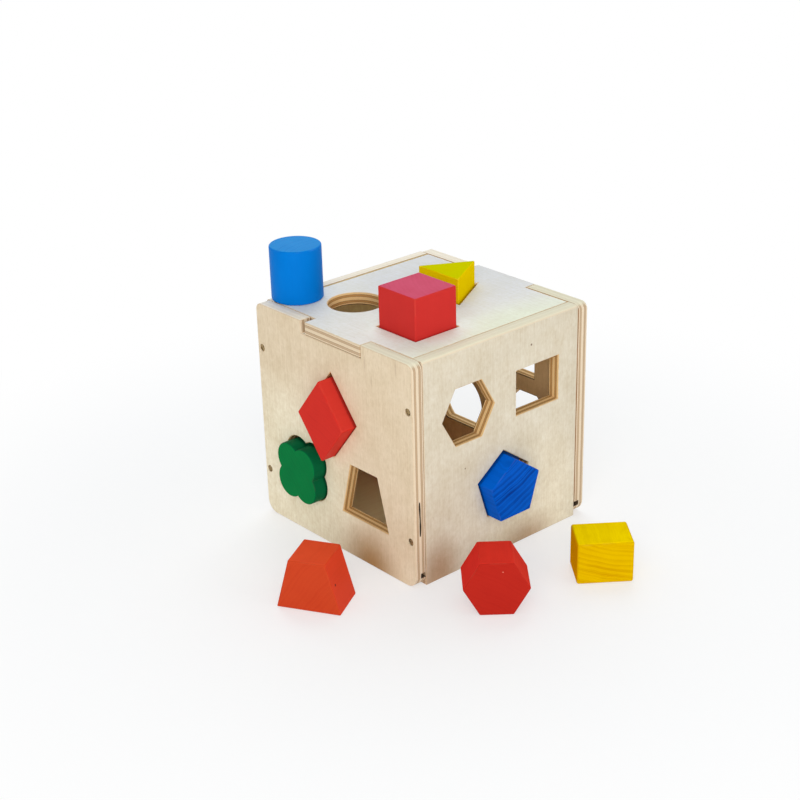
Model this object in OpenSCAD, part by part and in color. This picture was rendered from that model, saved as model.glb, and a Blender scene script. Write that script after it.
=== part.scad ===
// Wooden shape sorter: a nailed plywood box with a lift-out lid and twelve painted blocks.
// Every block passes through one hole of its own outline in the lid or in a wall.
// Origin at the middle of the box's base, +Z up, front wall towards -Y, left wall towards -X.

/* [Box] */
// Width of the box over the two side walls (X)
box_w = 140; // [132:1:170]
// Depth of the box along the side walls (Y)
box_d = 140; // [132:1:170]
// Height of the walls
box_h = 140; // [132:1:170]
// Thickness of the plywood walls
wall_t = 8; // [6:0.5:10]
// Radius of the top corners of the side walls
side_top_r = 4.5; // [1:0.5:6]
// Radius of the bottom corners of the side walls
side_bottom_r = 8; // [1:0.5:10]
// Radius of the rounded top outer edge of the front and back walls
rim_r = 2.5; // [0.5:0.5:4]

/* [Bottom panel] */
// Thickness of the panel
panel_t = 3; // [2:0.5:5]
// Height of the panel's underside above the floor
panel_z = 6; // [4:0.5:12]
// Depth of the groove that holds the panel in each wall
groove_d = 4; // [2:0.5:5]
// Gap above the panel and at its edges in the groove
groove_gap = 0.2; // [0.1:0.05:0.5]

/* [Lid] */
// Thickness of the lid, and depth of the notches that its tabs lie in
lid_t = 8; // [6:0.5:12]
// Width of the tab at each side of the lid
tab_w = 50; // [30:1:60]
// Gap between the lid's sides and the side walls
lid_side_gap = 0.5; // [0.3:0.1:2]
// Play of the lid on each side between the front and back walls
lid_play = 0.8; // [0.6:0.1:2]
// Play of a tab on each side in its notch
notch_play = 2; // [1:0.1:3]
// Gap left in front of the lid and its tabs, which are pushed forward
lid_front_gap = 0.3; // [0.3:0.1:0.6]

/* [Nails] */
// Diameter of the nail's shank
nail_d = 1.8; // [1.2:0.1:2.4]
// Length of the nail under its head
nail_l = 27; // [20:1:40]
// Diameter of the nail's head
nail_head_d = 4.6; // [3:0.1:5]
// Thickness of the nail's head
nail_head_t = 1; // [0.5:0.1:1.5]
// Length of the nail's point
nail_point_l = 3; // [1:0.5:4]
// Gap between a nail and the wood round it
nail_gap = 0.05; // [0.02:0.01:0.1]
// Height of the lower nails
nail_low_z = 30; // [20:1:50]
// Height of the upper nails
nail_high_z = 111.5; // [90:0.5:120]

/* [Blocks] */
// Gap between a block and the edge of its hole
block_gap = 1.1; // [0.6:0.1:2]
// Gap left under a block that lies in a wall's hole
seat_gap = 0.3; // [0.3:0.05:0.5]
// Length of the blocks along their outline
block_l = 26; // [20:0.5:32]

/* [Round block, lid] */
// Diameter of the round block
round_d = 31.5; // [24:0.5:34]
// Height of the round block
round_h = 33.5; // [20:0.5:40]
// Round hole, from the lid's middle towards the left
round_hole_x = 27.6; // [24:0.1:34]
// Round hole, from the lid's middle towards the back
round_hole_y = 27.6; // [24:0.1:32]
// Round block standing on the lid, from the outside of the left wall
round_stand_x = 23.4; // [18:0.1:30]
// Round block standing on the lid, from the outside of the back wall
round_stand_y = 11.2; // [8:0.1:16]

/* [Square block, lid] */
// Side of the square block, a cube
square_side = 31.7; // [24:0.1:34]
// Square hole, from the lid's middle towards the left
square_hole_x = 27.5; // [24:0.1:34]
// Square hole, from the lid's middle towards the front
square_hole_y = 27.6; // [24:0.1:32]
// Height of the square block above the lid
square_out = 24.8; // [20:0.1:30]

/* [Triangle block, lid] */
// Side of the triangle
triangle_side = 35; // [28:0.5:40]
// Middle of the triangular hole, from the lid's middle towards the right
triangle_hole_x = 24.1; // [20:0.1:30]
// Height of the triangle block above the lid
triangle_out = 15; // [10:0.5:20]

/* [Rhombus block, left wall] */
// Width of the rhombus between its side corners
rhombus_w = 41; // [32:0.5:46]
// Height of the rhombus between its top and bottom corners
rhombus_h = 51.4; // [40:0.2:56]
// Rhombus hole, from the middle of the left wall towards the back
rhombus_y = 1; // [-2:0.1:4]
// Height of the middle of the rhombus hole
rhombus_z = 87.9; // [86:0.1:94]
// Length of the rhombus block outside the wall
rhombus_out = 9.6; // [6:0.1:14]

/* [Trapezoid block, left wall] */
// Width of the trapezoid's base
trapezoid_base_w = 38.8; // [32:0.1:42]
// Width of the trapezoid's top
trapezoid_top_w = 22.2; // [16:0.1:28]
// Height of the trapezoid
trapezoid_h = 31.4; // [26:0.1:34]
// Trapezoid hole, from the middle of the left wall towards the front
trapezoid_y = 25.8; // [24:0.1:32]
// Height of the middle of the trapezoid hole
trapezoid_z = 44; // [40:0.1:46]
// Trapezoid block on the floor, from the left wall towards the left
trapezoid_floor_x = 59.7; // [56:0.1:90]
// Trapezoid block on the floor, from the box's front towards the back
trapezoid_floor_y = 25; // [10:0.1:40]
// Turn of the trapezoid block on the floor
trapezoid_turn = -59.6; // [-75:0.1:-45]

/* [Clover block, left wall] */
// Radius of the clover's four lobes
clover_lobe_r = 10.7; // [8.5:0.1:12]
// Offset of each lobe from the clover's middle, sideways and upwards
clover_lobe_at = 7.1; // [5.5:0.1:8]
// Clover hole, from the middle of the left wall towards the back
clover_y = 28; // [26:0.1:32]
// Height of the middle of the clover hole
clover_z = 43.7; // [40:0.1:46]
// Length of the clover block outside the wall
clover_out = 8.3; // [6:0.1:14]

/* [Hexagon block, front wall] */
// Side of the hexagon
hexagon_side = 19.2; // [15:0.1:21]
// Hexagon hole, from the middle of the front wall towards the left
hexagon_x = 27.3; // [26:0.1:32]
// Height of the middle of the hexagon hole
hexagon_z = 98.7; // [96:0.1:106]
// Hexagon block on the floor, from the box's left side towards the right
hexagon_floor_x = 14.4; // [0:0.1:16]
// Hexagon block on the floor, from the front wall towards the front
hexagon_floor_y = 51.6; // [48:0.1:80]
// Turn of the hexagon block on the floor
hexagon_turn = -40.4; // [-60:0.1:-20]

/* [Rectangle block, front wall] */
// Width of the rectangle
rectangle_w = 33; // [26:0.5:38]
// Height of the rectangle
rectangle_h = 26.2; // [20:0.2:32]
// Rectangle hole, from the middle of the front wall towards the right
rectangle_x = 28.3; // [26:0.1:32]
// Height of the middle of the rectangle hole
rectangle_z = 98.9; // [92:0.1:106]
// Corner of the rectangle block on the floor, from the box's left side towards the right
rectangle_floor_x = 71; // [66:0.1:110]
// Corner of the rectangle block on the floor, from the front wall towards the front
rectangle_floor_y = 59.7; // [56:0.1:90]
// Turn of the rectangle block on the floor
rectangle_turn = -37.8; // [-60:0.1:-20]

/* [Pentagon block, front wall] */
// Radius of the pentagon to its corners
pentagon_r = 20.6; // [16:0.1:23]
// Pentagon hole, from the middle of the front wall towards the right
pentagon_x = 0.5; // [-4:0.1:4]
// Height of the middle of the pentagon hole
pentagon_z = 44.2; // [40:0.1:48]
// Length of the pentagon block outside the wall
pentagon_out = 10.3; // [6:0.1:14]

/* [Dome block, right wall] */
// Radius of the dome's round side
dome_r = 18.9; // [15:0.1:20]
// Distance of the dome's flat side from the middle of its round side
dome_flat = 14; // [8:0.1:16]
// Dome hole, from the middle of the right wall towards the back
dome_y = 32.6; // [28:0.1:34]
// Height of the middle of the dome hole's round side
dome_z = 44.9; // [40:0.1:50]

/* [Octagon block, right wall] */
// Width of the octagon across its flats
octagon_w = 39.8; // [32:0.2:42]
// Octagon hole, from the middle of the right wall towards the front
octagon_y = 28; // [26:0.1:32]
// Height of the middle of the octagon hole
octagon_z = 49.3; // [44:0.1:52]
// Octagon block in the box, from the middle towards the right
octagon_inside_x = 15; // [14:0.5:18]

/* [Quarter block, right wall] */
// Radius of the quarter circle, and length of its two straight sides
quarter_r = 31.6; // [26:0.1:34]
// Middle of the quarter hole, from the middle of the right wall towards the front
quarter_y = 17.4; // [15:0.1:26]
// Height of the middle of the quarter hole
quarter_z = 98.3; // [96:0.1:108]

/* [Blocks in the box] */
// Gap between the blocks in the box and the walls beside them
inside_gap = 2; // [1:0.5:4]

/* [Hidden] */
$fn = 96;
// Extra length of a cutting shape past the face that it opens
cut = 1;
// Top of the bottom panel, which the blocks in the box lie on
floor_z = panel_z + panel_t;
// Underside of the lid and floor of the notches
lid_z = box_h - lid_t;
// Space between the side walls, and between the front and back walls
inside_w = box_w - 2 * wall_t;
inside_d = box_d - 2 * wall_t;
// Middle of the lid and of its tabs, pushed forward in their play
lid_y = lid_front_gap - lid_play;
tab_y = lid_front_gap - notch_play;
// Drop of a block from the middle of its hole until it lies on the hole's lower edge
block_drop = block_gap - seat_gap;
// Length of the rhombus's sides, and the drop of its block onto two slanting edges
rhombus_edge = sqrt(pow(rhombus_w, 2) + pow(rhombus_h, 2)) / 2;
rhombus_drop = block_drop * 2 * rhombus_edge / rhombus_w;
// Lean of the trapezoid's sides
trapezoid_lean = (trapezoid_base_w - trapezoid_top_w) / (2 * trapezoid_h);
// Half the distance between opposite sides of the hexagon
hexagon_half_h = hexagon_side * cos(30);

// Outlines of the blocks. g is the gap by which a hole is larger on every side.
module round_outline(g = 0) circle(d = round_d + 2 * g);

module square_outline(g = 0) square(square_side + 2 * g, center = true);

module triangle_outline(g = 0) circle(r = triangle_side / sqrt(3) + 2 * g, $fn = 3);

module rhombus_outline(g = 0) {
  grow = 1 + 4 * g * rhombus_edge / (rhombus_w * rhombus_h);
  w = grow * rhombus_w / 2;
  h = grow * rhombus_h / 2;
  polygon([[w, 0], [0, h], [-w, 0], [0, -h]]);
}

module trapezoid_outline(g = 0) {
  slant = sqrt(1 + pow(trapezoid_lean, 2));
  base = trapezoid_base_w / 2 + g * (slant + trapezoid_lean);
  top = trapezoid_top_w / 2 + g * (slant - trapezoid_lean);
  h = trapezoid_h / 2 + g;
  polygon([[-base, -h], [base, -h], [top, h], [-top, h]]);
}

module clover_outline(g = 0) {
  for (a = [-clover_lobe_at, clover_lobe_at], b = [-clover_lobe_at, clover_lobe_at])
    translate([a, b]) circle(r = clover_lobe_r + g);
  square(2 * clover_lobe_at, center = true);
}

module hexagon_outline(g = 0) circle(r = hexagon_side + g / cos(30), $fn = 6);

module rectangle_outline(g = 0) square([rectangle_w + 2 * g, rectangle_h + 2 * g], center = true);

module pentagon_outline(g = 0) rotate(90) circle(r = pentagon_r + g / cos(36), $fn = 5);

module dome_outline(g = 0) {
  r = dome_r + g;
  intersection() {
    circle(r = r);
    translate([-r, -dome_flat - g]) square([2 * r, r + dome_flat + g]);
  }
}

module octagon_outline(g = 0) rotate(22.5) circle(r = (octagon_w / 2 + g) / cos(22.5), $fn = 8);

module quarter_outline(g = 0) {
  translate([-quarter_r / 2, -quarter_r / 2]) intersection() {
    circle(r = quarter_r + g);
    translate([-g, -g]) square(quarter_r + 2 * g);
  }
}

// An outline drawn in Y and Z, made t thick along +X
module along_x(t) rotate([90, 0, 90]) linear_extrude(t) children();

// An outline drawn in X and Z, made t thick along +Y
module along_y(t) translate([0, t, 0]) rotate([90, 0, 0]) linear_extrude(t) children();

// What rounding takes off a square corner at the origin
module corner_waste(r) {
  difference() {
    translate([-cut, -cut]) square(r + cut);
    translate([r, r]) circle(r = r);
  }
}

// A nail with its head at the origin, pointing along +X
module nail() {
  rotate([0, 90, 0]) {
    cylinder(d = nail_head_d, h = nail_head_t);
    translate([0, 0, nail_head_t]) cylinder(d = nail_d, h = nail_l - nail_point_l);
    translate([0, 0, nail_head_t + nail_l - nail_point_l])
      cylinder(d1 = nail_d, d2 = nail_d / 6, h = nail_point_l);
  }
}

// The hole that a nail fills
module nail_hole() {
  rotate([0, 90, 0]) {
    translate([0, 0, -cut]) cylinder(d = nail_head_d + 2 * nail_gap, h = nail_head_t + cut);
    cylinder(d = nail_d + 2 * nail_gap, h = nail_head_t + nail_l + nail_gap);
  }
}

// Four nails through the left wall, into the middle of the front and back walls' ends
module at_nails() {
  for (y = [-1, 1] * (box_d - wall_t) / 2, z = [nail_low_z, nail_high_z])
    translate([-box_w / 2, y, z]) children();
}

// A side wall in the left wall's place. Its holes are the children, drawn in Y and Z.
module side_wall() {
  difference() {
    translate([-box_w / 2, 0, 0]) along_x(wall_t) difference() {
      translate([-box_d / 2, 0]) square([box_d, box_h]);
      for (s = [0, 1]) mirror([s, 0]) {
        translate([-box_d / 2, 0]) corner_waste(side_bottom_r);
        translate([-box_d / 2, box_h]) mirror([0, 1]) corner_waste(side_top_r);
      }
      translate([-tab_w / 2 - notch_play, lid_z]) square([tab_w + 2 * notch_play, lid_t + cut]);
      children();
    }
    panel_groove();
    at_nails() nail_hole();
  }
}

// The front wall without its holes
module end_wall() {
  difference() {
    translate([-inside_w / 2, -box_d / 2, 0]) cube([inside_w, wall_t, box_h]);
    translate([-inside_w / 2 - cut, -box_d / 2, box_h])
      along_x(inside_w + 2 * cut) mirror([0, 1]) corner_waste(rim_r);
    panel_groove();
    for (s = [0, 1]) mirror([s, 0, 0]) at_nails() nail_hole();
  }
}

// The groove that runs round all four walls
module panel_groove() {
  w = inside_w + 2 * groove_d;
  d = inside_d + 2 * groove_d;
  h = panel_t + groove_gap;
  translate([-w / 2, -box_d / 2 - cut, panel_z]) cube([groove_d, box_d + 2 * cut, h]);
  translate([w / 2 - groove_d, -box_d / 2 - cut, panel_z]) cube([groove_d, box_d + 2 * cut, h]);
  translate([-inside_w / 2 - cut, -d / 2, panel_z]) cube([inside_w + 2 * cut, groove_d, h]);
  translate([-inside_w / 2 - cut, d / 2 - groove_d, panel_z]) cube([inside_w + 2 * cut, groove_d, h]);
}

module left_wall() {
  color("#d9c3a3") side_wall() {
    translate([rhombus_y, rhombus_z]) rhombus_outline(block_gap);
    translate([-trapezoid_y, trapezoid_z]) trapezoid_outline(block_gap);
    translate([clover_y, clover_z]) clover_outline(block_gap);
  }
}

module right_wall() {
  color("#d9c3a3") mirror([1, 0, 0]) side_wall() {
    translate([dome_y, dome_z]) dome_outline(block_gap);
    translate([-octagon_y, octagon_z]) octagon_outline(block_gap);
    translate([-quarter_y, quarter_z]) quarter_outline(block_gap);
  }
}

module front_wall() {
  color("#dfd4bd") difference() {
    end_wall();
    translate([0, -box_d / 2 - cut, 0]) along_y(wall_t + 2 * cut) {
      translate([-hexagon_x, hexagon_z]) hexagon_outline(block_gap);
      translate([rectangle_x, rectangle_z]) rectangle_outline(block_gap);
      translate([pentagon_x, pentagon_z]) pentagon_outline(block_gap);
    }
  }
}

module back_wall() {
  color("#dfd4bd") mirror([0, 1, 0]) end_wall();
}

module bottom_panel() {
  w = inside_w + 2 * (groove_d - groove_gap);
  d = inside_d + 2 * (groove_d - groove_gap);
  color("#9a7752") translate([-w / 2, -d / 2, panel_z]) cube([w, d, panel_t]);
}

module lid() {
  w = inside_w - 2 * lid_side_gap;
  d = inside_d - 2 * lid_play;
  color("#e0dfd6") translate([0, lid_y, lid_z]) linear_extrude(lid_t) difference() {
    union() {
      square([w, d], center = true);
      translate([0, tab_y - lid_y]) square([box_w, tab_w], center = true);
    }
    translate([-round_hole_x, round_hole_y]) round_outline(block_gap);
    translate([-square_hole_x, -square_hole_y]) square_outline(block_gap);
    translate([triangle_hole_x, 0]) triangle_outline(block_gap);
  }
}

module left_nails() {
  color("#8f8674") at_nails() nail();
}

module right_nails() {
  color("#8f8674") mirror([1, 0, 0]) at_nails() nail();
}

// Stands on the lid and the back wall
module round_block() {
  color("#0a73cf") translate([round_stand_x - box_w / 2, box_d / 2 - round_stand_y, box_h])
    linear_extrude(round_h) round_outline();
}

// Stuck part way through the lid
module square_block() {
  color("#c93430") translate([-square_hole_x, lid_y - square_hole_y, box_h + square_out - square_side])
    linear_extrude(square_side) square_outline();
}

// Stuck part way through the lid
module triangle_block() {
  color("#e0cb08") translate([triangle_hole_x, lid_y, box_h + triangle_out - block_l])
    linear_extrude(block_l) triangle_outline();
}

// Lies part way through the left wall
module rhombus_block() {
  color("#d23430") translate([-box_w / 2 - rhombus_out, rhombus_y, rhombus_z - rhombus_drop])
    along_x(block_l) rhombus_outline();
}

// Lies part way through the left wall
module clover_block() {
  color("#12783c") translate([-box_w / 2 - clover_out, clover_y, clover_z - block_drop])
    along_x(block_l) clover_outline();
}

// Lies part way through the front wall
module pentagon_block() {
  color("#0a52be") translate([pentagon_x, -box_d / 2 - pentagon_out, pentagon_z - block_drop])
    along_y(block_l) pentagon_outline();
}

// Lies on its base on the floor, to the left of the box
module trapezoid_block() {
  color("#d04a2a")
    translate([-box_w / 2 - trapezoid_floor_x, trapezoid_floor_y - box_d / 2, trapezoid_h / 2])
      rotate(trapezoid_turn) along_y(block_l) trapezoid_outline();
}

// Lies on one side on the floor, in front of the box
module hexagon_block() {
  color("#c9322b")
    translate([hexagon_floor_x - box_w / 2, -box_d / 2 - hexagon_floor_y, hexagon_half_h])
      rotate(hexagon_turn) along_y(block_l) hexagon_outline();
}

// Lies on its wide side on the floor, in front of the box
module rectangle_block() {
  color("#e8b818")
    translate([rectangle_floor_x - box_w / 2, -box_d / 2 - rectangle_floor_y, rectangle_h / 2])
      rotate(rectangle_turn) translate([rectangle_w / 2, 0, 0]) along_y(block_l) rectangle_outline();
}

// Lies on the bottom panel in the front right corner
module dome_block() {
  color("#0a52be")
    translate([inside_w / 2 - inside_gap - dome_r, dome_r + inside_gap - inside_d / 2, floor_z])
      linear_extrude(block_l) dome_outline();
}

// Lies on the bottom panel by the back wall
module octagon_block() {
  color("#c9322b")
    translate([octagon_inside_x, inside_d / 2 - inside_gap - octagon_w / 2, floor_z])
      linear_extrude(block_l) octagon_outline();
}

// Lies on the octagon block
module quarter_block() {
  color("#12783c")
    translate([octagon_inside_x, inside_d / 2 - inside_gap - octagon_w / 2, floor_z + block_l])
      rotate(-90) linear_extrude(block_l) quarter_outline();
}

left_wall();
right_wall();
front_wall();
back_wall();
bottom_panel();
lid();
left_nails();
right_nails();
round_block();
square_block();
triangle_block();
rhombus_block();
trapezoid_block();
clover_block();
hexagon_block();
rectangle_block();
pentagon_block();
dome_block();
octagon_block();
quarter_block();
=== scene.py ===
# Wooden shape sorter: a nailed plywood box with a lift-off lid and twelve painted blocks.
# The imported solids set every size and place. This script eases their edges, drives the nails
# and finishes the plywood and the paint.
import math
import bmesh
import bpy
from mathutils import Euler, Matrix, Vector


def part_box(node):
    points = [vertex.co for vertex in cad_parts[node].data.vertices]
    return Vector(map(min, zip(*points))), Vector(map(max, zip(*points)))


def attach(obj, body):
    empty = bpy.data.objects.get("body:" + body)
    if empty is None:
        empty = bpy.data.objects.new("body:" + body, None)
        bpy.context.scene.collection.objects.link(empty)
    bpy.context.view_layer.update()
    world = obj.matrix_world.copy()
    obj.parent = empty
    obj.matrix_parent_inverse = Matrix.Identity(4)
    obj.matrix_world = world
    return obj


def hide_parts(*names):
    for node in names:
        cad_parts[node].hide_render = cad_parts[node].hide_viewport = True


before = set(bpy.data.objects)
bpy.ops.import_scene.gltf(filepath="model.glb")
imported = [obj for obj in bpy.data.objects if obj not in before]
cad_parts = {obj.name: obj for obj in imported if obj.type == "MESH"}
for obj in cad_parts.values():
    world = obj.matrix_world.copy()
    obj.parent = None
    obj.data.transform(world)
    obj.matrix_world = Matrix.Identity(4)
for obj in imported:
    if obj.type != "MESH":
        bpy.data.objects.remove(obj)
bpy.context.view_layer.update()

# Camera. It looks down on the box's left front corner from about a metre away, with a small
# shift because the object stands above the middle of the picture.
camera = bpy.data.objects.new("camera", bpy.data.cameras.new("camera"))
camera.location = (-0.6098, -0.6848, 0.4867)
camera.rotation_euler = [math.radians(turn) for turn in (64.484, 1.397, -41.45)]
camera.data.sensor_width = 36.0
camera.data.lens = 73.87
camera.data.shift_y = 0.05
camera.data.clip_start = 0.01
bpy.context.scene.collection.objects.link(camera)
bpy.context.scene.camera = camera

# Left and right walls. Each is one sheet of five-ply, sawn to shape with its holes and the
# notch for the lid's tab, sanded along its edges and nailed over the ends of the front and
# back walls. The plies show as stripes wherever the sheet is cut.
MM = 1000.0                          # in a metre
SHEET = 8.0                          # mm
HALF = 70.0                          # mm, from the middle of the box to a wall's outer face
CORE = HALF - SHEET / 2              # mm, from there to the middle of the sheet
PLIES = (1.5, 1.4, 2.2, 1.4, 1.5)    # mm, from the outer face inwards
GLUE = 0.2                           # mm
GROOVE = (6.0, 9.2)                  # mm, heights of the groove for the bottom panel
NAIL_ROWS = (30.0, 111.5)            # mm, heights of the nails


def swatch(red, green, blue):
    """A colour as it is seen on a screen, 0 to 255, for a shader."""
    linear = [(c / 255 / 12.92 if c < 10.3 else ((c / 255 + 0.055) / 1.055) ** 2.4)
              for c in (red, green, blue)]
    return (*linear, 1.0)


class Tone:
    """One socket in a finish, so that the finish is written as sums."""

    def __init__(self, tree, socket=None):
        self.tree, self.socket = tree, socket

    def node(self, kind, settings=None, sockets=None, out=0):
        """A new node with its settings and its sockets' values or links."""
        made = self.tree.nodes.new(kind)
        for key, value in (settings or {}).items():
            if key == "stops":
                ramp = made.color_ramp
                ramp.elements.remove(ramp.elements[1])
                ramp.elements[0].position, ramp.elements[0].color = value[0]
                for at, colour in value[1:]:
                    ramp.elements.new(at).color = colour
            elif key == "steps":
                made.color_ramp.interpolation = value
            else:
                setattr(made, key, value)
        for key, value in (sockets or {}).items():
            if isinstance(value, Tone):
                self.tree.links.new(value.socket, made.inputs[key])
            else:
                made.inputs[key].default_value = value
        return Tone(self.tree, made.outputs[out])

    def sum(self, operation, first, second):
        """One step of arithmetic on two values."""
        return self.node("ShaderNodeMath", {"operation": operation}, {0: first, 1: second})

    def __add__(self, other):
        return self.sum("ADD", self, other)

    __radd__ = __add__

    def __sub__(self, other):
        return self.sum("SUBTRACT", self, other)

    def __rsub__(self, other):
        return self.sum("SUBTRACT", other, self)

    def __mul__(self, other):
        return self.sum("MULTIPLY", self, other)

    __rmul__ = __mul__

    def __truediv__(self, other):
        return self.sum("DIVIDE", self, other)

    def __abs__(self):
        return self.sum("ABSOLUTE", self, 0.0)

    def rise(self, low, high):
        """0 below low, 1 above high, smooth between them."""
        return self.node("ShaderNodeMapRange", {"interpolation_type": "SMOOTHSTEP"},
                         {"Value": self, "From Min": low, "From Max": high})

    def blend(self, under, over, mode="MIX"):
        """The colour under, going over to the other where this is 1."""
        return self.node("ShaderNodeMix", {"data_type": "RGBA", "blend_type": mode},
                         {0: self, 6: under, 7: over}, out=2)


def finish(name):
    """A new material: its shader and a Tone to build on."""
    material = bpy.data.materials.new(name)
    material.use_nodes = True
    return material, material.node_tree.nodes["Principled BSDF"], Tone(material.node_tree)


def plywood(name, across, outer, along, veneer, streak, inner, pale, dark, cut, knots=(),
            flecks=(), tone_and_light_patches=(), painted_shade_spots=(), void=None):
    """Five-ply: pale face veneer with faint grain, and striped edges.
    across and along are the axes of the thickness and of the face grain, and outer is where the
    outer face lies. The face is veneer with darker streak, or inner inside the box. Its edges are
    pale and dark in turn. cut is the middle and the reach, along each axis, of the part that holds
    the holes. A patch gives the veneer another tone; the lid's patch round the square block is
    painted light that lifts the shade and offsets the red bounce light at its foot. A spot along
    the bottom is painted shade, where the floor and the blocks shade the walls. A patch or a spot
    has its middle, how it is stretched, where it ends, where it is full and its colour."""
    material, shader, tone = finish(name)
    tree = material.node_tree
    place = tone.node("ShaderNodeTexCoord", out=3)
    place = tone.node("ShaderNodeVectorMath", {"operation": "SCALE"}, {0: place, "Scale": MM})
    facing = tone.node("ShaderNodeTexCoord", out=1)
    at = [tone.node("ShaderNodeSeparateXYZ", None, {0: place}, out=i) for i in range(3)]
    face = abs(tone.node("ShaderNodeSeparateXYZ", None, {0: facing}, out=across)).rise(0.8, 0.97)

    def grainwise(with_grain, over_grain):
        return [with_grain if i == along else over_grain for i in range(3)]

    def noise(scale, detail, stretch=(1, 1, 1), rough=0.5):
        stretched = tone.node("ShaderNodeVectorMath", {"operation": "MULTIPLY"},
                              {0: place, 1: stretch})
        return tone.node("ShaderNodeTexNoise", None,
                         {"Vector": stretched, "Scale": scale, "Detail": detail,
                          "Roughness": rough})

    def distance(spot, stretch=(1, 1, 1)):
        off = tone.node("ShaderNodeVectorMath", {"operation": "SUBTRACT"}, {0: place, 1: spot})
        off = tone.node("ShaderNodeVectorMath", {"operation": "MULTIPLY"}, {0: off, 1: stretch})
        return tone.node("ShaderNodeVectorMath", {"operation": "LENGTH"}, {0: off}, out=1)

    # the plies, counted from the outer face, with a thin line of glue between them
    depth = outer - abs(at[across])
    wander = (noise(0.05, 2) - 0.5) * 0.6 + (noise(0.8, 1) - 0.5) * 0.2

    def plies(light, deep, glue):
        stops, through = [], 0.0
        for number, thick in enumerate(PLIES):
            if number:
                stops.append(((through - GLUE / 2) / SHEET, glue))
            stops.append(((through + (GLUE / 2 if number else 0)) / SHEET,
                          deep if number % 2 else light))
            through += thick
        inner_skin_edge = SHEET - 0.6    # the edge of the innermost skin is darker
        stops.append((inner_skin_edge / SHEET, swatch(128, 90, 56)))
        return tone.node("ShaderNodeValToRGB", {"stops": stops, "steps": "CONSTANT"},
                         {0: (depth + wander) / SHEET})

    # the plies show clearer and more golden in the holes' walls than along the outer edges
    inside = [abs(at[i] - middle).rise(reach, reach - 2.0)
              for i, (middle, reach) in enumerate(cut) if i != across]
    inside = inside[0] * inside[1]
    stripes = inside.blend(
        plies(light=pale, deep=dark, glue=swatch(166, 136, 104)),
        plies(light=swatch(242, 207, 148), deep=swatch(194, 146, 86), glue=swatch(128, 90, 48)))
    fibre = noise(1.0, 4, grainwise(0.08, 1.6), 0.65)
    speck = noise(2.6, 3, rough=0.6)
    stripes = ((speck - 0.5) * 0.4 + (fibre - 0.5) * 0.3 + 0.06).blend(
        stripes, swatch(176, 142, 106))
    # the plies show less along the top edges: where they face up they are painted paler, a painted
    # light, and whiter towards the back
    painted_shading = tone.node("ShaderNodeSeparateXYZ", None, {0: facing}, out=2).rise(0.5, 0.95)
    painted_top_light = at[1].rise(-10.0, 50.0).blend(swatch(234, 230, 204), swatch(255, 246, 228))
    stripes = (painted_shading * at[2].rise(128.0, 132.0) * 0.8).blend(stripes, painted_top_light)

    # the face veneer: soft clouds, faint lines and a few short dark dashes along the grain
    lines = noise(1.0, 4, grainwise(0.03, 0.7), 0.55)
    flake = noise(0.9, 2, grainwise(0.35, 1.0), 0.6)
    cloud = noise(0.05, 4, rough=0.6)
    mottle = noise(0.35, 3, rough=0.6)
    dash = noise(1.0, 1, grainwise(0.09, 0.8)).rise(0.74, 0.80)
    dash = dash * noise(0.02, 1).rise(0.48, 0.62)
    skin = veneer
    # patches give the veneer another tone in places; the lid's one round the square block is
    # painted light
    for spot, stretch, far, near, colour in tone_and_light_patches:
        here = (distance(spot, stretch) + (cloud - 0.5) * 16.0).rise(far, near)
        skin = (here * (1.1 - mottle * 0.5)).blend(skin, colour)
    skin = depth.rise(SHEET * 0.45, SHEET * 0.55).blend(skin, inner)
    shade = [deep / light for deep, light in zip(streak, veneer)]
    skin = ((lines - 0.5) * 0.6 + (flake - 0.5) * 0.65 + (mottle - 0.5) * 0.65
            + (cloud - 0.5) * 0.9 + 0.4).blend(skin, shade, "MULTIPLY")
    skin = (dash * 0.4).blend(skin, swatch(150, 112, 72))
    for spot, size in flecks:
        near = distance(spot, grainwise(0.16, 1.0))
        skin = ((near + (lines - 0.5) * 0.8).rise(size, size * 0.3) * 0.22).blend(
            skin, swatch(150, 114, 76))
    for spot, size in knots:
        skin = ((distance(spot) + (speck - 0.5) * 0.5).rise(size, size * 0.35) * 0.85).blend(
            skin, swatch(100, 66, 40))
    tint = face.blend(stripes, skin)
    # the groove for the bottom panel and any gap in the core are painted dark inside, as painted
    # shade
    middle, half = sum(GROOVE) / 2, (GROOVE[1] - GROOVE[0]) / 2
    groove = 1 - abs(at[2] - middle).rise(half + 0.02, half + 0.15)
    groove = groove * depth.rise(3.7, 3.95)
    tint = (groove * 0.9).blend(tint, swatch(52, 36, 24))
    if void:
        low, high, width = void
        middle, half = (low + high) / 2, (high - low) / 2
        gap = 1 - abs(at[2] - middle).rise(half, half + 1.0)
        gap = gap * (1 - abs(at[0] + CORE).rise(width * 1.5, width * 1.8))
        behind_edge = at[1] + HALF
        gap = gap * behind_edge.rise(0.02, 0.15) * (1 - behind_edge.rise(4.0, 5.0))
        tint = gap.blend(tint, swatch(30, 20, 14))
    # sanded edges take up more dirt than the faces, and the holes' inner rims are darkened as
    # painted shade
    arris = tone.node("ShaderNodeAttribute", {"attribute_name": "arris"}, out=2)
    tint = (arris * (mottle * 0.5)).blend(tint, swatch(190, 152, 108))
    tint = (arris * inside * depth.rise(SHEET - 1.2, SHEET - 0.7) * 0.7).blend(
        tint, swatch(84, 58, 38))
    # painted shade: soft darker spots in places along the bottom, where the floor and the nearby
    # blocks shade the walls
    for spot, stretch, far, near, colour in painted_shade_spots:
        here = (distance(spot, stretch) + (cloud - 0.5) * 8.0).rise(far, near)
        tint = here.blend(tint, colour, "MULTIPLY")

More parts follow.
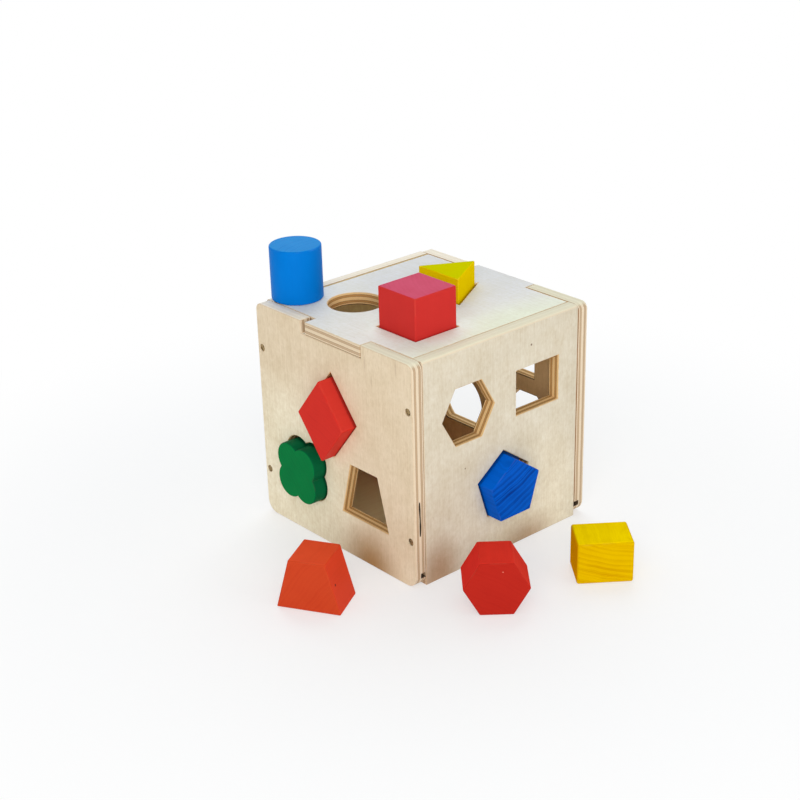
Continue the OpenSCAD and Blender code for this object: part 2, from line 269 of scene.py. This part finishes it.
    tree.links.new(tint.socket, shader.inputs["Base Color"])
    rough = 0.58 + (lines - 0.5) * 0.2 + (1 - face) * 0.14
    tree.links.new(rough.socket, shader.inputs["Roughness"])
    height = lines * 0.4 + mottle * 0.2 - dash * 0.5 + speck * (1 - face) * 0.9
    bump = tone.node("ShaderNodeBump", None,
                     {"Strength": 0.3, "Distance": 0.0001, "Height": height})
    tree.links.new(bump.socket, shader.inputs["Normal"])
    shader.inputs["Specular IOR Level"].default_value = 0.3
    return material


def eased(node, name, radius, crisp=None):
    """A copy of a solid with its arrises sanded round, except those that crisp picks out."""
    flat, sharp, faceted = math.radians(0.6), math.radians(32), (0.01, 0.5)
    work = bmesh.new()
    work.from_mesh(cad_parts[node].data)
    bmesh.ops.remove_doubles(work, verts=work.verts, dist=2e-6)
    bmesh.ops.dissolve_limit(work, angle_limit=flat, verts=work.verts, edges=work.edges)
    arrises = [e for e in work.edges
               if e.is_manifold and e.calc_face_angle() > sharp
               and not (crisp and crisp((e.verts[0].co + e.verts[1].co) * (MM / 2)))]
    rounded = set(bmesh.ops.bevel(work, geom=arrises, offset=radius, offset_type="OFFSET",
                                  segments=4, profile=0.5, affect="EDGES",
                                  clamp_overlap=True)["faces"])
    arris = work.verts.layers.float.new("arris")
    for v in work.verts:
        v[arris] = float(all(f in rounded for f in v.link_faces))
    # flat faces stay flat, while rounded edges and curved walls turn smoothly
    smooth = [f in rounded or any(faceted[0] < e.calc_face_angle(0.0) < faceted[1]
                                  for e in f.edges
                                  if not any(beside in rounded for beside in e.link_faces))
              for f in work.faces]
    mesh = bpy.data.meshes.new(name)
    work.to_mesh(mesh)
    work.free()
    mesh.set_sharp_from_angle(angle=math.radians(35))
    mesh.polygons.foreach_set("use_smooth", smooth)
    piece = bpy.data.objects.new(name, mesh)
    bpy.context.scene.collection.objects.link(piece)
    return piece


def put(piece, material, body, node):
    """The finished piece takes the place of its solid."""
    piece.data.materials.clear()
    piece.data.materials.append(material)
    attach(piece, body)
    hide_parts(node)


def sawn(mid, across, reach):
    """Whether an edge belongs to the groove or to a nail hole, which are left as cut."""
    groove = GROOVE[0] - 0.5 < mid.z < GROOVE[1] + 0.4 and abs(mid[across]) < HALF - 1.0
    hole = (abs(abs(mid.y) - CORE) < reach
            and min(abs(mid.z - row) for row in NAIL_ROWS) < reach)
    return groove or hole


def void_cut(wall, low, high, width):
    """A gap in the core shows on the wall's front edge as a thin dark slit."""
    ahead, behind = -HALF - 0.6, -HALF + 2.1
    steps = 16
    work = bmesh.new()
    rings = []
    for step in range(steps + 1):
        t = step / steps
        half = width * (0.55 + 0.45 * math.sin(math.pi * t) ** 0.6) * (1 + 0.2 * math.sin(9 * t))
        mid = -CORE + 0.12 * math.sin(5 * t)
        z = low + (high - low) * t
        rings.append([work.verts.new((x / MM, y / MM, z / MM))
                      for x, y in ((mid - half, ahead), (mid + half, ahead),
                                   (mid + half * 0.7, behind), (mid - half * 0.7, behind))])
    for below, above in zip(rings, rings[1:]):
        for i in range(4):
            work.faces.new((below[i], below[(i + 1) % 4], above[(i + 1) % 4], above[i]))
    work.faces.new(rings[0][::-1])
    work.faces.new(rings[-1])
    bmesh.ops.recalc_face_normals(work, faces=work.faces)
    mesh = bpy.data.meshes.new("void")
    work.to_mesh(mesh)
    work.free()
    tool = bpy.data.objects.new("void", mesh)
    bpy.context.scene.collection.objects.link(tool)
    cutter = wall.modifiers.new("void", "BOOLEAN")
    cutter.object, cutter.operation, cutter.solver = tool, "DIFFERENCE", "EXACT"
    evaluated = wall.evaluated_get(bpy.context.evaluated_depsgraph_get())
    cut_mesh = bpy.data.meshes.new_from_object(evaluated)
    wall.modifiers.clear()
    wall.data = cut_mesh
    bpy.data.objects.remove(tool)


VOID = (33.6, 55.7, 0.7)    # mm: heights of the slit's ends and half its width
# the spots along this sheet's bottom are painted shade
side_ply = plywood(
    "side_plywood", across=0, outer=HALF, along=2, cut=[(0, 0), (0, 58), (66, 58)],
    veneer=swatch(235, 219, 193), streak=swatch(205, 184, 148), inner=swatch(253, 219, 170),
    pale=swatch(230, 214, 188), dark=swatch(192, 166, 136), void=VOID,
    flecks=[((-HALF, -30.4, 130.0), 1.0), ((-HALF, -56.8, 135.0), 1.1),
            ((-HALF, -35.8, 120.4), 0.8)],
    tone_and_light_patches=[((-HALF, 40, 35), (1, 1, 1), 84.0, 30.0, swatch(251, 244, 221))],
    painted_shade_spots=[((-HALF, -30, -2), (1, 1.1, 1), 36.0, 2.0, swatch(184, 150, 108))])
for side in ("left", "right"):
    wall = eased(side + "_wall", side + "_wall_sheet", 0.0006, lambda mid: sawn(mid, 0, 3.0))
    if side == "left":
        void_cut(wall, *VOID)
    put(wall, side_ply, "box", side + "_wall")

# Front and back walls. The same five-ply, held between the side walls by the nails. The top
# outer edge is rounded over, and the front one has three holes and two small pin knots.
# the two spots along this sheet's bottom are painted shade
end_ply = plywood(
    "end_plywood", across=1, outer=HALF, along=2, cut=[(0, 58), (0, 0), (66, 58)],
    veneer=swatch(225, 219, 203), streak=swatch(195, 180, 151), inner=swatch(255, 236, 180),
    pale=swatch(229, 214, 188), dark=swatch(203, 178, 149),
    knots=[((22.8, -HALF, 126.2), 1.0), ((-30.5, -HALF, 64.7), 0.7)],
    tone_and_light_patches=[((20, -HALF, 5), (1, 1, 1), 80.0, 20.0, swatch(244, 237, 217))],
    painted_shade_spots=[((-52, -HALF, 2), (1.5, 1, 1), 33.0, 5.0, swatch(212, 186, 168)),
            ((18, -HALF, -2), (0.7, 1, 1), 24.0, 2.0, swatch(200, 180, 165))])
for end in ("front", "back"):
    wall = eased(end + "_wall", end + "_wall_sheet", 0.0005, lambda mid: sawn(mid, 1, 1.6))
    put(wall, end_ply, "box", end + "_wall")

# Bottom panel. A thin plain sheet of plywood, sawn square. It sits loose in the grooves of the
# four walls and closes the box underneath.
def panel_finish():
    material, shader, tone = finish("panel_plywood")
    place = tone.node("ShaderNodeTexCoord", out=3)
    lines = tone.node("ShaderNodeVectorMath", {"operation": "MULTIPLY"},
                      {0: place, 1: (40.0, 900.0, 900.0)})
    lines = tone.node("ShaderNodeTexNoise", None, {"Vector": lines, "Scale": 1.0, "Detail": 5.0})
    cloud = tone.node("ShaderNodeTexNoise", None, {"Vector": place, "Scale": 30.0})
    tint = ((lines - 0.3) * 1.2 + (cloud - 0.5) * 0.8).blend(
        swatch(255, 234, 188), swatch(242, 212, 164))
    tree = material.node_tree
    tree.links.new(tint.socket, shader.inputs["Base Color"])
    tree.links.new((0.62 + (lines - 0.5) * 0.2).socket, shader.inputs["Roughness"])
    bump = tone.node("ShaderNodeBump", None,
                     {"Strength": 0.3, "Distance": 0.0001, "Height": lines})
    tree.links.new(bump.socket, shader.inputs["Normal"])
    return material


panel = eased("bottom_panel", "bottom_panel_sheet", 0.0003)
put(panel, panel_finish(), "box", "bottom_panel")

# Nails. Two steel nails at each end of a side wall hold the wall behind it. Each is driven a
# hair below the face, so its domed head lies in a small dark ring.
def nail_finish():
    material, shader, tone = finish("nail_steel")
    place = tone.node("ShaderNodeTexCoord", out=3)
    stain = tone.node("ShaderNodeTexNoise", None,
                      {"Vector": place, "Scale": 900.0, "Detail": 4.0, "Roughness": 0.6})
    tarnish = stain.rise(0.42, 0.62)
    tree = material.node_tree
    tree.links.new(tarnish.blend(swatch(166, 142, 98), swatch(92, 72, 42)).socket,
                   shader.inputs["Base Color"])
    tree.links.new((0.34 + tarnish * 0.3).socket, shader.inputs["Roughness"])
    tree.links.new((0.9 - tarnish * 0.4).socket, shader.inputs["Metallic"])
    bump = tone.node("ShaderNodeBump", None,
                     {"Strength": 0.4, "Distance": 0.00008, "Height": stain})
    tree.links.new(bump.socket, shader.inputs["Normal"])
    return material


def nail_tree():
    """Nails on the corners of an upright grid, heads outwards."""
    tree = bpy.data.node_groups.new("nails", "GeometryNodeTree")
    sizes = {"Head Radius": 0.00222, "Head Thickness": 0.0006, "Head Crown": 0.0002,
             "Shank Radius": 0.0009, "Shank Length": 0.024, "Rows Apart": 2 * CORE / MM,
             "Low Row": NAIL_ROWS[0] / MM, "High Row": NAIL_ROWS[1] / MM,
             "Face": -NAIL_FACE, "Outwards": -1.0, "Tilt": 0.035}
    ids = {}
    for label, value in sizes.items():
        socket = tree.interface.new_socket(label, in_out="INPUT", socket_type="NodeSocketFloat")
        socket.default_value = value
        ids[label] = socket.identifier
    steel = tree.interface.new_socket("Steel", in_out="INPUT", socket_type="NodeSocketMaterial")
    ids["Steel"] = steel.identifier
    tree.interface.new_socket("Nails", in_out="OUTPUT", socket_type="NodeSocketGeometry")
    given = tree.nodes.new("NodeGroupInput").outputs

    def add(kind, settings=None, sockets=None, out=0):
        made = tree.nodes.new(kind)
        for key, value in (settings or {}).items():
            setattr(made, key, value)
        for key, value in (sockets or {}).items():
            if isinstance(value, bpy.types.NodeSocket):
                tree.links.new(value, made.inputs[key])
            else:
                made.inputs[key].default_value = value
        return made.outputs[out]

    def maths(operation, a, b):
        return add("ShaderNodeMath", {"operation": operation}, {0: a, 1: b})

    def vector(x, y, z):
        return add("ShaderNodeCombineXYZ", None, {0: x, 1: y, 2: z})

    def moved(mesh, offset):
        return add("GeometryNodeTransform", None, {"Geometry": mesh, "Translation": offset})

    # the head's top is crowned, highest in the middle
    disc = tree.nodes.new("GeometryNodeMeshCylinder")
    disc.fill_type = "TRIANGLE_FAN"
    disc.inputs["Vertices"].default_value = 28
    disc.inputs["Fill Segments"].default_value = 4
    tree.links.new(given["Head Radius"], disc.inputs["Radius"])
    tree.links.new(given["Head Thickness"], disc.inputs["Depth"])
    spot = add("GeometryNodeInputPosition")
    flat = add("ShaderNodeVectorMath", {"operation": "MULTIPLY"}, {0: spot, 1: (1, 1, 0)})
    out_from_middle = maths("DIVIDE", add("ShaderNodeVectorMath", {"operation": "LENGTH"},
                                          {0: flat}, out=1), given["Head Radius"])
    drop = maths("MULTIPLY", maths("POWER", out_from_middle, 2.5),
                 maths("MULTIPLY", given["Head Crown"], -1.0))
    head = add("GeometryNodeSetPosition", None,
               {"Geometry": disc.outputs["Mesh"], "Selection": disc.outputs["Top"],
                "Offset": vector(0.0, 0.0, drop)})
    head = moved(head, vector(0.0, 0.0, maths("MULTIPLY", given["Head Thickness"], -0.5)))
    shank = add("GeometryNodeMeshCylinder", None,
                {"Vertices": 14, "Radius": given["Shank Radius"], "Depth": given["Shank Length"]})
    reach = maths("ADD", maths("MULTIPLY", given["Shank Length"], 0.5), given["Head Thickness"])
    shank = moved(shank, vector(0.0, 0.0, maths("MULTIPLY", reach, -1.0)))
    nail = tree.nodes.new("GeometryNodeJoinGeometry")
    tree.links.new(head, nail.inputs[0])
    tree.links.new(shank, nail.inputs[0])
    grid = add("GeometryNodeMeshGrid", None,
               {"Size X": given["Rows Apart"],
                "Size Y": maths("SUBTRACT", given["High Row"], given["Low Row"]),
                "Vertices X": 2, "Vertices Y": 2})
    middle = maths("MULTIPLY", maths("ADD", given["High Row"], given["Low Row"]), 0.5)
    grid = add("GeometryNodeTransform", None,
               {"Geometry": grid, "Rotation": (math.pi / 2, 0.0, math.pi / 2),
                "Translation": vector(given["Face"], 0.0, middle)})
    lean = add("FunctionNodeRandomValue", {"data_type": "FLOAT_VECTOR"},
               {"Min": (-1.0, -1.0, -1.0), "Max": (1.0, 1.0, 1.0), "Seed": 7})
    lean = add("ShaderNodeVectorMath", {"operation": "SCALE"},
               {0: lean, "Scale": given["Tilt"]})
    turn = add("ShaderNodeVectorMath", {"operation": "ADD"},
               {0: vector(0.0, maths("MULTIPLY", given["Outwards"], math.pi / 2), 0.0), 1: lean})
    driven = add("GeometryNodeInstanceOnPoints", None,
                 {"Points": grid, "Instance": nail.outputs[0], "Rotation": turn})
    driven = add("GeometryNodeRealizeInstances", None, {"Geometry": driven})
    driven = add("GeometryNodeSetMaterial", None,
                 {"Geometry": driven, "Material": given["Steel"]})
    tree.links.new(driven, tree.nodes.new("NodeGroupOutput").inputs[0])
    return tree, ids


def drive(side, face, outwards):
    """The four nails of one side wall as a plain mesh."""
    name = side + "_nails_driven"
    piece = bpy.data.objects.new(name, bpy.data.meshes.new(name))
    bpy.context.scene.collection.objects.link(piece)
    modifier = piece.modifiers.new("nails", "NODES")
    modifier.node_group = nails
    modifier[nail_ids["Face"]] = face
    modifier[nail_ids["Outwards"]] = outwards
    modifier[nail_ids["Steel"]] = steel
    evaluated = piece.evaluated_get(bpy.context.evaluated_depsgraph_get())
    mesh = bpy.data.meshes.new_from_object(evaluated)
    piece.modifiers.clear()
    piece.data = mesh
    for polygon in mesh.polygons:
        polygon.use_smooth = True
    mesh.set_sharp_from_angle(angle=math.radians(40))
    put(piece, steel, "box", side + "_nails")


NAIL_FACE = (HALF - 0.4) / MM    # m, where the heads' tops lie
steel = nail_finish()
nails, nail_ids = nail_tree()
drive("left", -NAIL_FACE, -1.0)
drive("right", NAIL_FACE, 1.0)

# Lid. One more sheet of the five-ply with a tab at each side that drops into the side walls'
# notches, and three holes. Its face is the palest.
LID_TOP = 140.0    # mm
# the last patch, round the square block's foot, is painted light that lifts the shade and the red
# bounce there
lid_ply = plywood(
    "lid_plywood", across=2, outer=LID_TOP, along=1, cut=[(0, 56), (0, 56), (0, 0)],
    veneer=swatch(241, 241, 238), streak=swatch(221, 218, 203), inner=swatch(255, 248, 218),
    pale=swatch(228, 211, 182), dark=swatch(196, 171, 140),
    tone_and_light_patches=[((50, 25, LID_TOP), (1, 1, 1), 80.0, 40.0, swatch(228, 229, 234)),
             ((0, -64, LID_TOP), (0.3, 1, 1), 34.0, 8.0, swatch(245, 251, 229)),
             ((-27.5, -28, LID_TOP), (1, 1, 1), 40.0, 22.0, swatch(246, 255, 249))])
lid = eased("lid", "lid_sheet", 0.0007)
put(lid, lid_ply, "lid", "lid")

# Round block. Turned from solid hardwood along the grain and dipped in light blue satin
# paint, thin enough that the growth rings show faintly through it.
def painted(name, shape, colour, deep, fibre, rings, spacing, show, wave=4.0, gloss=0.03,
            specks=(), side_shading=(), gap_shadow_axis=None):
    """Satin paint over solid wood, deep where the rings show. fibre turns the grain's own axes,
    Z along the grain, and rings is where the heart of the tree lies in those axes, in mm from
    the block's middle. spacing is the rings' width, show their strength and wave their bend.
    Faces that look a given way take another tone, painted light and shade, and on the tops of the
    round and square blocks a painted sheen. A speck has its place, size and colour. Along the axis
    of the wall that the block goes through, a dark band is painted on the block where it goes in,
    a painted shadow of the gap."""
    low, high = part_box(shape + "_block")
    material, shader, tone = finish(name)
    tree = material.node_tree
    place = tone.node("ShaderNodeTexCoord", out=3)
    grain = tone.node("ShaderNodeMapping", {"vector_type": "TEXTURE"},
                      {"Vector": place, "Location": (low + high) / 2, "Rotation": fibre,
                       "Scale": (1 / MM, 1 / MM, 1 / MM)})
    bend = tone.node("ShaderNodeTexNoise", None,
                     {"Vector": grain, "Scale": 0.06, "Detail": 2.0, "Roughness": 0.5})
    from_heart = tone.node("ShaderNodeVectorMath", {"operation": "SUBTRACT"},
                           {0: grain, 1: (rings[0], rings[1], 0.0)})
    from_heart = tone.node("ShaderNodeVectorMath", {"operation": "MULTIPLY"},
                           {0: from_heart, 1: (1.0, 1.0, 0.02)})
    from_heart = tone.node("ShaderNodeVectorMath", {"operation": "LENGTH"}, {0: from_heart}, out=1)
    years = (from_heart + bend * wave) / spacing
    drift = tone.node("ShaderNodeTexNoise", {"noise_dimensions": "1D"}, {"W": years * 0.55})
    years = years + drift * 1.6
    year = tone.sum("FRACT", years, 0.0)
    dry = tone.node("ShaderNodeTexWhiteNoise", {"noise_dimensions": "1D"},
                    {"W": tone.sum("FLOOR", years, 0.0)})
    late = year.rise(0.25, 0.75) * (1 - year.rise(0.82, 1.0)) * (0.35 + dry * 0.85)
    fine = tone.node("ShaderNodeVectorMath", {"operation": "MULTIPLY"},
                     {0: grain, 1: (2.4, 2.4, 0.12)})
    fine = tone.node("ShaderNodeTexNoise", None,
                     {"Vector": fine, "Scale": 1.0, "Detail": 4.0, "Roughness": 0.6})
    cloud = tone.node("ShaderNodeTexNoise", None,
                      {"Vector": grain, "Scale": 0.09, "Detail": 2.0})
    stipple = tone.node("ShaderNodeTexNoise", None,
                        {"Vector": grain, "Scale": 3.0, "Detail": 2.0})
    # the rings show most on the sawn ends
    facing = tone.node("ShaderNodeTexCoord", out=1)
    length = Euler(fibre).to_matrix() @ Vector((0.0, 0.0, 1.0))
    end = abs(tone.node("ShaderNodeVectorMath", {"operation": "DOT_PRODUCT"},
                        {0: facing, 1: length}, out=1)).rise(0.6, 0.95)
    late = late * (0.3 + end * 0.7)
    # faces that look a given way take a lighter or darker tone, painted light and shade, and on
    # some tops a painted sheen
    base = colour
    for way, other in side_shading:
        turned = tone.node("ShaderNodeVectorMath", {"operation": "DOT_PRODUCT"},
                           {0: facing, 1: way}, out=1).rise(0.75, 0.97)
        base = turned.blend(base, other)
    cover = (late * (0.5 + cloud * 0.9) + (fine - 0.5) * 0.6) * show
    cover = cover + (cloud - 0.5) * 0.3 + 0.1
    tint = cover.blend(base, deep)
    for spot, size, mark in specks:
        near = tone.node("ShaderNodeVectorMath", {"operation": "DISTANCE"},
                         {0: place, 1: spot}, out=1)
        near = (near * MM + (stipple - 0.5) * 0.3).rise(size, size * 0.4)
        tint = near.blend(tint, mark)
    arris = tone.node("ShaderNodeAttribute", {"attribute_name": "arris"}, out=2)
    worn = [0.9 * c + 0.1 * w for c, w in zip(colour, swatch(238, 214, 170))]
    tint = (arris * cloud.rise(0.45, 0.65) * 0.2).blend(tint, (*worn[:3], 1.0))
    # a dark band painted round the block where it enters the wall: a painted shadow of the gap
    if gap_shadow_axis is not None:
        into = tone.node("ShaderNodeSeparateXYZ", None, {0: place}, out=gap_shadow_axis) * MM + HALF
        into = into + (fine - 0.5) * 2.0
        painted_shading = [0.2 * c for c in deep[:3]]
        tint = (into.rise(-0.9, 0.3) * into.rise(4.5, 0.3) * 0.45).blend(tint, (*painted_shading, 1.0))
    tree.links.new(tint.socket, shader.inputs["Base Color"])
    tree.links.new((0.42 + (stipple - 0.5) * 0.12 + (cloud - 0.5) * 0.1).socket,
                   shader.inputs["Roughness"])
    height = stipple * 0.35 + fine * 0.5 * show - late * 0.8 * show
    bump = tone.node("ShaderNodeBump", None,
                     {"Strength": 0.3, "Distance": 0.0001, "Height": height})
    tree.links.new(bump.socket, shader.inputs["Normal"])
    shader.inputs["Specular IOR Level"].default_value = gloss
    return material


def block(shape, radius, paint, made="sanded"):
    """A painted block, its edges eased, in the place of its solid."""
    node = shape + "_block"
    put(eased(node, node + "_" + made, radius), paint, node, node)


# the tones given below for faces that look a certain way are painted light and shade; the pink top
# of the square block and the pale top of the round one are painted sheen
ALONG_X = (0.0, math.pi / 2, 0.0)
ALONG_Y = (-math.pi / 2, 0.0, 0.0)
ALONG_Z = (0.0, 0.0, 0.0)
UP = (0.0, 0.0, 1.0)
sky_blue = painted("sky_blue_paint", "round", swatch(0, 121, 215), swatch(0, 104, 196),
                   ALONG_Z, rings=(6.0, -40.0), spacing=2.4, show=0.2,
                   side_shading=[(UP, swatch(34, 146, 220))])
block("round", 0.0011, sky_blue, made="turned")

# Square block. A cube sawn from square stock and painted red. It stands in the lid's square
# hole, with most of its height above the lid.
red_square = painted("red_paint_square", "square", swatch(205, 51, 47), swatch(176, 34, 34),
                     ALONG_Z, rings=(60.0, -30.0), spacing=2.8, show=0.12,
                     side_shading=[(UP, swatch(214, 82, 114))])
block("square", 0.0008, red_square)

# Triangle block. Sawn from three-cornered stock and painted lemon yellow. It stands in the
# lid's triangular hole, deeper than the square one.
lemon = painted("lemon_paint", "triangle", swatch(240, 208, 0), swatch(222, 186, 0),
                ALONG_Z, rings=(40.0, 70.0), spacing=2.4, show=0.2, gloss=0.0,
                side_shading=[(UP, swatch(208, 210, 0))])
block("triangle", 0.0008, lemon)

# Rhombus block. Sawn from diamond stock, painted red and pushed part way through the left wall,
# with a painted shadow band where it goes in.
red_rhombus = painted("red_paint_rhombus", "rhombus", swatch(211, 48, 38), swatch(190, 38, 34),
                      ALONG_X, rings=(90.0, 30.0), spacing=2.6, show=0.2,
                      side_shading=[((0.0, -0.78, 0.62), swatch(214, 58, 48))], gap_shadow_axis=0)
block("rhombus", 0.0008, red_rhombus)

# Clover block. A four-lobed moulding sawn to length and painted green, pushed part way
# through the left wall.
green = painted("green_paint_clover", "clover", swatch(8, 96, 58), swatch(0, 80, 46),
                ALONG_X, rings=(50.0, 60.0), spacing=2.4, show=0.2, gloss=0.02,
                side_shading=[((-1.0, 0.0, 0.0), swatch(0, 124, 62))], gap_shadow_axis=0)
block("clover", 0.0009, green)

# Pentagon block. Sawn from five-sided stock and painted deep blue, pushed part way through
# the front wall. Its rings run across the sawn end as slanting streaks.
blue = painted("blue_paint", "pentagon", swatch(0, 92, 206), swatch(0, 50, 136),
               ALONG_Y, rings=(-50.0, -120.0), spacing=3.6, show=0.7, wave=3.0, gloss=0.02,
               side_shading=[((-0.81, 0.0, 0.59), swatch(0, 98, 214)),
                      ((-0.95, 0.0, -0.31), swatch(0, 96, 214))], gap_shadow_axis=1)
block("pentagon", 0.0007, blue)

# Trapezoid block. Sawn from tapered stock and painted orange, with a nick in the paint. It
# lies loose on its wide side on the floor.
orange = painted("orange_paint_trapezoid", "trapezoid", swatch(200, 69, 36), swatch(186, 54, 28),
                 (-math.pi / 2, 0.0, math.radians(-59.6)), rings=(80.0, 60.0), spacing=2.6,
                 show=0.25,
                 side_shading=[(UP, swatch(228, 80, 43)), ((0.49, -0.83, 0.26), swatch(220, 66, 36))],
                 specks=[((-0.11761, -0.05531, 0.01661), 1.0, swatch(70, 22, 16))])
block("trapezoid", 0.0007, orange)

# Hexagon block. Sawn from six-sided stock and painted red, with a bare speck in the paint. It
# lies loose on the floor.
red_hexagon = painted("red_paint_hexagon", "hexagon", swatch(183, 42, 32), swatch(168, 33, 27),
                      (-math.pi / 2, 0.0, math.radians(-40.4)), rings=(-50.0, 90.0), spacing=2.6,
                      show=0.25, gloss=0.0,
                      side_shading=[(UP, swatch(226, 55, 42)), ((-0.66, 0.56, 0.5), swatch(228, 54, 45)),
                             ((0.66, -0.56, 0.5), swatch(226, 62, 48))],
                      specks=[((-0.05308, -0.12375, 0.02762), 0.45, swatch(226, 150, 130))])
block("hexagon", 0.0007, red_hexagon)

# Rectangle block. Sawn from rectangular stock and painted amber yellow, loose on the floor.
# Its corners are the most worn, and the rings run nearly level across the sawn end.
amber = painted("amber_paint", "rectangle", swatch(224, 184, 0), swatch(196, 142, 0),
                (-math.pi / 2, 0.0, math.radians(-37.8)), rings=(23.0, -97.0), spacing=3.4,
                show=0.6, wave=3.0, gloss=0.0,
                side_shading=[(UP, swatch(250, 218, 0)), ((-0.79, 0.61, 0.0), swatch(222, 152, 0))])
block("rectangle", 0.0014, amber)

# Dome, octagon and quarter blocks. The three for the right wall, sawn from moulded stock and
# painted like the others, lying inside the box.
blue_dome = painted("blue_paint_dome", "dome", swatch(0, 88, 196), swatch(0, 54, 136),
                    ALONG_Z, rings=(60.0, 50.0), spacing=2.6, show=0.3)
block("dome", 0.0008, blue_dome)
red_octagon = painted("red_paint_octagon", "octagon", swatch(203, 40, 27), swatch(184, 30, 24),
                      ALONG_Z, rings=(70.0, -40.0), spacing=2.6, show=0.35)
block("octagon", 0.0008, red_octagon)
green_quarter = painted("green_paint_quarter", "quarter", swatch(4, 122, 60), swatch(0, 98, 48),
                        ALONG_Z, rings=(-60.0, 50.0), spacing=2.4, show=0.35)
block("quarter", 0.0008, green_quarter)

# Floor and light. A plain pale floor that goes over to white away from the object, an even
# studio sky, one large soft lamp over the camera, a weaker one on the front wall's side and a
# cool one from behind.
def looked_at(tone):
    """1 where the camera, a reflection or a clear piece looks straight at the surface."""
    rays = [tone.node("ShaderNodeLightPath", out=i) for i in (0, 3, 6)]
    return tone.sum("MAXIMUM", tone.sum("MAXIMUM", rays[0], rays[1]), rays[2])


def floor_finish():
    material, shader, tone = finish("floor_paper")
    tree = material.node_tree
    seen = looked_at(tone)
    paper = seen.blend((0.95, 0.93, 0.90, 1.0), (0.97, 0.97, 0.97, 1.0))
    tree.links.new(paper.socket, shader.inputs["Base Color"])
    shader.inputs["Roughness"].default_value = 0.9
    shader.inputs["Specular IOR Level"].default_value = 0.0
    place = tone.node("ShaderNodeTexCoord", out=3)
    away = tone.node("ShaderNodeVectorMath", {"operation": "DISTANCE"},
                     {0: place, 1: (-0.03, -0.03, 0.0)}, out=1)
    white = tone.node("ShaderNodeEmission", None, {"Color": (1, 1, 1, 1), "Strength": 1.0})
    shown = tone.sum("MAXIMUM", seen * (0.5 + away.rise(0.16, 0.42) * 0.5), 0.15)
    both = tone.node("ShaderNodeMixShader", None,
                     {0: shown, 1: Tone(tree, shader.outputs[0]), 2: white})
    tree.links.new(both.socket, tree.nodes["Material Output"].inputs["Surface"])
    return material


floor_mesh = bpy.data.meshes.new("floor")
floor_mesh.from_pydata([(-8, -8, 0), (8, -8, 0), (8, 8, 0), (-8, 8, 0)], [], [(0, 1, 2, 3)])
floor = bpy.data.objects.new("floor", floor_mesh)
floor.location.z = -0.0002
bpy.context.scene.collection.objects.link(floor)
floor.data.materials.append(floor_finish())

world = bpy.data.worlds.new("studio")
bpy.context.scene.world = world
world.use_nodes = True
sky = Tone(world.node_tree)
up = sky.node("ShaderNodeTexCoord", out=0)
up = sky.node("ShaderNodeSeparateXYZ", None, {0: up}, out=2)
glow = sky.node("ShaderNodeValToRGB",
                {"stops": [(0.0, (0.60, 0.59, 0.57, 1)), (0.3, (0.50, 0.50, 0.49, 1)),
                           (0.7, (0.48, 0.49, 0.50, 1)), (1.0, (0.52, 0.54, 0.57, 1))]}, {0: up})
backdrop = world.node_tree.nodes["Background"]
world.node_tree.links.new(looked_at(sky).blend(glow, (1.0, 1.0, 1.0, 1.0)).socket,
                          backdrop.inputs["Color"])
backdrop.inputs["Strength"].default_value = 1.0


def lamp(name, where, size, watts, colour):
    light = bpy.data.objects.new(name, bpy.data.lights.new(name, "AREA"))
    light.data.shape, light.data.size = "DISK", size
    light.data.energy, light.data.color = watts, colour
    light.location = where
    light.rotation_euler = (Vector((0.0, 0.0, 0.06)) - light.location).to_track_quat(
        "-Z", "Y").to_euler()
    bpy.context.scene.collection.objects.link(light)
    return light


lamp("soft_lamp", (-1.05, -1.05, 0.7), 1.3, 12.6, (1.0, 0.97, 0.93))
lamp("side_lamp", (0.55, -1.4, 0.25), 1.3, 4.2, (1.0, 0.98, 0.95))
lamp("cool_lamp", (0.75, 0.9, 1.5), 1.6, 13.5, (0.88, 0.95, 1.0)).visible_glossy = False

bpy.context.scene.view_settings.view_transform = "Standard"
